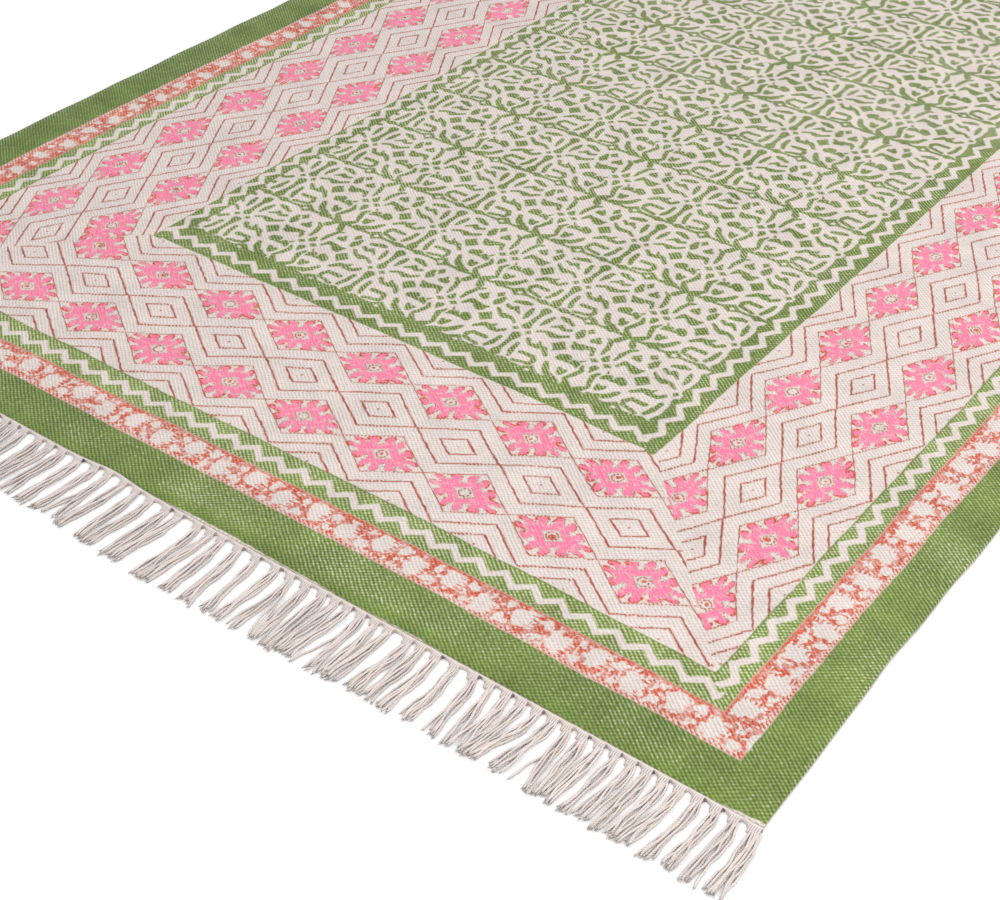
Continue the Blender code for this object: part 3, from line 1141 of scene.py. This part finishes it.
def neck_share(off, half_more):
    """How far down its neck the web reaches, so far right of a root: 1 on the neck, 0 in an arch."""
    low = -NECK_LEFT - half_more
    high = NECK_RIGHT + half_more
    if low <= off <= high:
        return 1.0
    if off < low:
        gone = min((low - off) / SHOULDER, 1.0)
    else:
        gone = min((off - high) / CREASE, 1.0)
    return 1 - math.sqrt(1 - (1 - gone) ** 2)


def strip_mesh(fringe, places):
    """The heading strip: a smooth web that runs out into a neck at each tassel, with arches between."""
    left = -side_x(LENGTH) - 0.0005
    right = side_x(0) + 0.0008
    count = round((right - left) / STRIP_STEP)
    columns = []
    for k in range(count + 1):
        x = left + (right - left) * k / count
        reach = []
        for i, (root, _lean) in enumerate(places):
            reach.append((neck_share(x - root, CORNER_NECK_MORE if i == 0 else 0.0), i))
        share_down, index = max(reach)
        if share_down == 0:
            index = min(range(len(places)), key=lambda i: abs(places[i][0] - x))
        off = x - places[index][0]
        depth = WEB_SHOWS + NECK_LENGTH * share_down
        depth += 0.0004 * noise.noise(Vector((x / 0.006, 9.0, 0.0)))
        lift = 1 + 0.10 * noise.noise(Vector((x / 0.009, 2.0, 0.0)))
        across = min(abs(off - 0.0006) / 0.0052, 1.0)
        rounded = 0.58 + 0.42 * math.sqrt(1 - across**2)
        inner = end_y(x) - 0.00005
        column = []
        for share, height in WEB_PROFILE:
            out = depth * share
            z = STRIP_HEIGHT * height * lift
            if share_down > 0:
                z *= 1 + (rounded - 1) * held((out - WEB_SHOWS) / 0.003)
            column.append((fringe.vert(x, inner - out, z), x, out))
        column.append((fringe.vert(x, inner, 0.0), x, 0.0))
        columns.append((index, column))

    def face(corners, index):
        base = ROOT_STEP * index - places[index][0]
        verts = [vert for vert, x, out in corners]
        fringe.face(verts, [(base + x, out) for vert, x, out in corners], 1)

    n = len(WEB_PROFILE) + 1
    for (index, a), (_index, b) in zip(columns[:-1], columns[1:]):
        for s in range(n):
            t = (s + 1) % n
            face((a[s], a[t], b[t], b[s]), index)
    face(columns[0][1][::-1], columns[0][0])
    face(columns[-1][1], columns[-1][0])


def yarn_slot(number, count, low_row):
    """A yarn's place across its bundle, whose lower row runs from -0.5 to 0.5."""
    middle = (low_row - 1) / 2 if number < low_row else (count + low_row - 1) / 2
    return (number - middle) / max(low_row - 1, 1)


def yarn_paths(places, rng):
    """Each yarn's number, path and radii, tassel by tassel."""
    for index, (root, lean) in enumerate(places):
        corner = index == 0
        count = CORNER_YARNS if corner else YARNS + rng.choice((-1, 0, 0, 1))
        low_row = (count + 2) // 2
        parting = next((p for p in PARTINGS if abs(p[0] * MM - root) < 0.008), None)
        reach = lock_reach(index, root)
        start = end_y(root) - WEB_SHOWS - 0.0012
        width = CORNER_WIDTH if corner else BUNDLE_WIDTH + rng.uniform(-0.0005, 0.0009)
        for number in range(count):
            below = number < low_row
            slot = yarn_slot(number, count, low_row)
            tip = reach + rng.uniform(*TIPS_UNEVEN)
            swing = rng.uniform(0.0, 2 * math.pi)
            turns = rng.uniform(*WAVE_TURNS)
            drift = rng.uniform(-YARN_DRIFT, YARN_DRIFT)
            lift = 0.0 if below else YARN_NEST * YARN_RADIUS
            end = end_y(root) + TIP_BACK - tip
            points = []
            radii = []
            for k in range(YARN_RINGS):
                share = (k / (YARN_RINGS - 1)) ** 1.1
                spread = 0.72 + 0.28 * held(share / 0.35) + 0.30 * max(share - 0.6, 0.0) / 0.4
                x = lock_x(root, lean, share) + slot * width * spread
                wave = math.sin(swing + 2 * math.pi * turns * share)
                ripple = math.sin(2.7 * swing + 2 * math.pi * 3.1 * turns * share)
                x += (YARN_WAVE * wave + YARN_RIPPLE * ripple) * held(share / 0.2)
                x += drift * share
                if parting:
                    _at, leaving, where, left_by, right_by = parting
                    gone = held((share - where) / (1 - where)) ** 0.85
                    leaves = (number if below else number - low_row + 1) < leaving
                    x += (left_by if leaves else right_by) * MM * gone
                y = start + (end - start) * share
                z = YARN_RADIUS * 1.02 + lift * held(share / 0.15)
                if not below:
                    z -= 0.0006 * max(share - 0.7, 0.0) / 0.3
                    z += 0.0002 * math.sin(swing + 9 * share)
                points.append(Vector((x, y, z)))
                thin = 0.80 + 0.20 * held(share / 0.2)
                radii.append(YARN_RADIUS * thin * (1 + 0.07 * math.sin(swing + 17 * share)))
            radii[-1] *= 0.82
            yield index * 16 + number, points, radii


def fray(fringe, rng, number, points):
    """Two thin fibres that stand out of a yarn's cut end."""
    tip, before = points[-1], points[-2]
    way = (tip - before).normalized()
    for _fibre in range(2):
        lean = Vector((rng.uniform(-0.7, 0.7), rng.uniform(-0.2, 0.2), 0.0))
        reach = rng.uniform(0.0016, 0.0036)
        offset = Vector((rng.uniform(-0.5, 0.5), 0.0, rng.uniform(-0.2, 0.5))) * YARN_RADIUS
        a = tip - way * 0.0008 + offset
        b = a + (way + lean * 0.5).normalized() * reach * 0.6
        c = b + (way + lean).normalized() * reach * 0.5
        for point in (a, b, c):
            point.z = max(point.z, 0.0005)
        fringe.tube([a, b, c], [0.00042, 0.00034, 0.00014], number, sides=3)


def make_fringe(name, places, turned_round, seed, materials):
    rng = random.Random(seed)
    fringe = FringeMesh(turned_round)
    strip_mesh(fringe, places)
    for number, points, radii in yarn_paths(places, rng):
        fringe.tube(points, radii, number)
        fray(fringe, rng, number, points)
    bmesh.ops.recalc_face_normals(fringe.mesh, faces=fringe.mesh.faces)
    return new_object(name, fringe.mesh, materials)


def yarn_material():
    """Twisted cotton yarn, each yarn a little lighter or darker than the next, with painted shade on its
    flanks and in the grooves of its plies.
    """
    g = Graph("twisted_yarn")
    u, v = g.separate(g.uv("yarn"))
    own = g.own_value(g.math("FLOOR", u))
    twist = g.affine(v, 1 / MM / TWIST_PITCH, g.times(u, 2.0))
    plies = g.math("COSINE", g.times(twist, 2 * math.pi))
    fluff = g.noise(g.combine(g.times(u, 4.0), g.times(v, 1000.0)), 1.4, 2.0)
    shade = g.affine(own, 0.20, 0.86)
    # Painted shade along the ply twist: lighter on the plies' crests, darker where they meet
    shade = g.affine(plies, 0.07, shade)
    shade = g.affine(g.minus(fluff, 0.5), 0.40, shade)
    # Painted shade: the flanks, which lie deeper in the bundle than the crown does, are darker
    crown = g.math("SINE", g.times(u, 2 * math.pi))
    shade = g.times(shade, g.affine(g.ramp(crown, -0.2, 0.75), 0.42, 0.58))
    return g.finish(linear(YARN), shade, g.affine(plies, 0.5, fluff), PLY_DEPTH)


def heading_material():
    """The smooth cream web that the tassels grow from, with painted shade in the grooves of its necks
    and a painted shadow under each crease.
    """
    g = Graph("heading_web")
    place = g.vector("SCALE", g.uv("yarn"), scale=1000.0)
    run, y = g.separate(place)
    step = ROOT_STEP / MM
    number = g.math("ROUND", g.over(run, step))
    x = g.affine(number, -step, run)
    own = g.own_value(number)
    ribs = g.math("COSINE", g.times(x, 2 * math.pi / NECK_RIB_PITCH))
    grain = g.noise(place, 1.6, 2.0)
    shade = g.affine(g.minus(grain, 0.5), 0.30, 0.96)
    # Painted shade in the grooves between the yarns that gather in each neck
    groove_shade = g.times(g.ramp(ribs, 0.2, -0.8), g.ramp(y, 1.4, 3.8))
    shade = g.affine(groove_shade, -0.42, shade)
    # Painted shadow of the crease under the web, just right of a neck, deeper at some roots than at
    # others
    near = g.times(g.ramp(x, 3.9, 4.8), g.ramp(x, 9.2, 6.0))
    low = g.times(g.ramp(y, 1.3, 1.7), g.ramp(y, 4.4, 3.0))
    deep = g.ramp(g.affine(g.minus(grain, 0.5), 1.2, own), 0.10, 0.90)
    crease_shadow = g.times(g.times(near, low), deep)
    shade = g.times(shade, g.affine(crease_shadow, -0.86, 1.0))
    return g.finish(linear(YARN), shade, g.affine(ribs, 0.35, grain), PLY_DEPTH)


# Stage

CAMERA_AT = (0.96694, -1.65869, 0.97316)
CAMERA_DOWN = math.radians(37.8197)
CAMERA_YAW = math.radians(127.9050)
CAMERA_ROLL = math.radians(0.4904)
CAMERA_LENS = 64.748
FLOOR_HALF = 9.0
FLOOR_BELOW = 0.0002
FLOOR_COLOUR = (0.93, 0.93, 0.93, 1.0)
WORLD_STRENGTH = 0.80
SUN_STRENGTH = 0.6
SUN_ANGLE = math.radians(35)
SUN_WAY = (0.75, -0.25, -1.0)
SOFT_BOX_POWER = 30.0
SOFT_BOX_SIZE = (0.8, 6.0)
SOFT_BOX_AT = (1.35, 0.0, 1.2)
SOFT_BOX_TILT = math.radians(50)


def make_camera():
    """The photograph's camera, worked out from the rug's corners and bands."""
    ahead = math.cos(CAMERA_DOWN)
    way = (math.cos(CAMERA_YAW) * ahead, math.sin(CAMERA_YAW) * ahead, -math.sin(CAMERA_DOWN))
    look = Vector(way)
    level = look.cross(Vector((0, 0, 1))).normalized()
    below = look.cross(level)
    right = level * math.cos(CAMERA_ROLL) + below * math.sin(CAMERA_ROLL)
    down = below * math.cos(CAMERA_ROLL) - level * math.sin(CAMERA_ROLL)
    data = bpy.data.cameras.new("camera")
    data.sensor_fit = "HORIZONTAL"
    data.sensor_width = 36.0
    data.lens = CAMERA_LENS
    data.clip_start = 0.05
    data.clip_end = 60.0
    camera = place_in_scene("camera", data)
    turn = Matrix((right, -down, -look)).transposed()
    camera.matrix_world = Matrix.Translation(CAMERA_AT) @ turn.to_4x4()
    bpy.context.scene.camera = camera


def make_stage():
    """A pale floor, an even white surround and one broad soft light."""
    mesh = bmesh.new()
    bmesh.ops.create_grid(mesh, x_segments=1, y_segments=1, size=FLOOR_HALF)
    g = Graph("pale_floor")
    g.shader.inputs["Base Color"].default_value = FLOOR_COLOUR
    g.shader.inputs["Roughness"].default_value = 0.9
    g.shader.inputs["Specular IOR Level"].default_value = 0.0
    floor = new_object("floor", mesh, [g.material])
    floor.location.z = -FLOOR_BELOW
    floor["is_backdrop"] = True

    world = bpy.data.worlds.new("surround")
    world.use_nodes = True
    backdrop = world.node_tree.nodes["Background"]
    backdrop.inputs["Color"].default_value = (1.0, 1.0, 1.0, 1.0)
    backdrop.inputs["Strength"].default_value = WORLD_STRENGTH
    bpy.context.scene.world = world

    sun = bpy.data.lights.new("soft_light", "SUN")
    sun.energy = SUN_STRENGTH
    sun.angle = SUN_ANGLE
    lamp = place_in_scene("soft_light", sun)
    lamp.rotation_euler = Vector(SUN_WAY).to_track_quat("-Z", "Y").to_euler()

    # A long soft box beside the rug, so that the light falls off towards the far side
    box = bpy.data.lights.new("soft_box", "AREA")
    box.shape = "RECTANGLE"
    box.size, box.size_y = SOFT_BOX_SIZE
    box.energy = SOFT_BOX_POWER
    strip = place_in_scene("soft_box", box)
    strip.location = SOFT_BOX_AT
    strip.rotation_euler = (0.0, SOFT_BOX_TILT, 0.0)
    bpy.context.scene.view_settings.view_transform = "Standard"
    return floor


make_camera()
floor = make_stage()
cloth = make_cloth()
corner_tassel, *other_tassels = lock_places()
tassels = [corner_tassel, *((root - ROOT_SHIFT, lean) for root, lean in other_tassels)]
fringe_materials = (yarn_material(), heading_material())
front = make_fringe("yarn_fringe_front", tassels, False, 11, fringe_materials)
back = make_fringe("yarn_fringe_back", tassels, True, 23, fringe_materials)

for piece, node, slot in (
    (cloth, "rug_cloth", "printed_cloth"),
    (front, "fringe_front", "fringe_yarn"),
    (back, "fringe_back", "fringe_yarn"),
):
    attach(piece, "root")
    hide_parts(node)

boxes = {"cad": cad_box, "visual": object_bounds()}
{name: [list(corner) for corner in box] for name, box in boxes.items()}
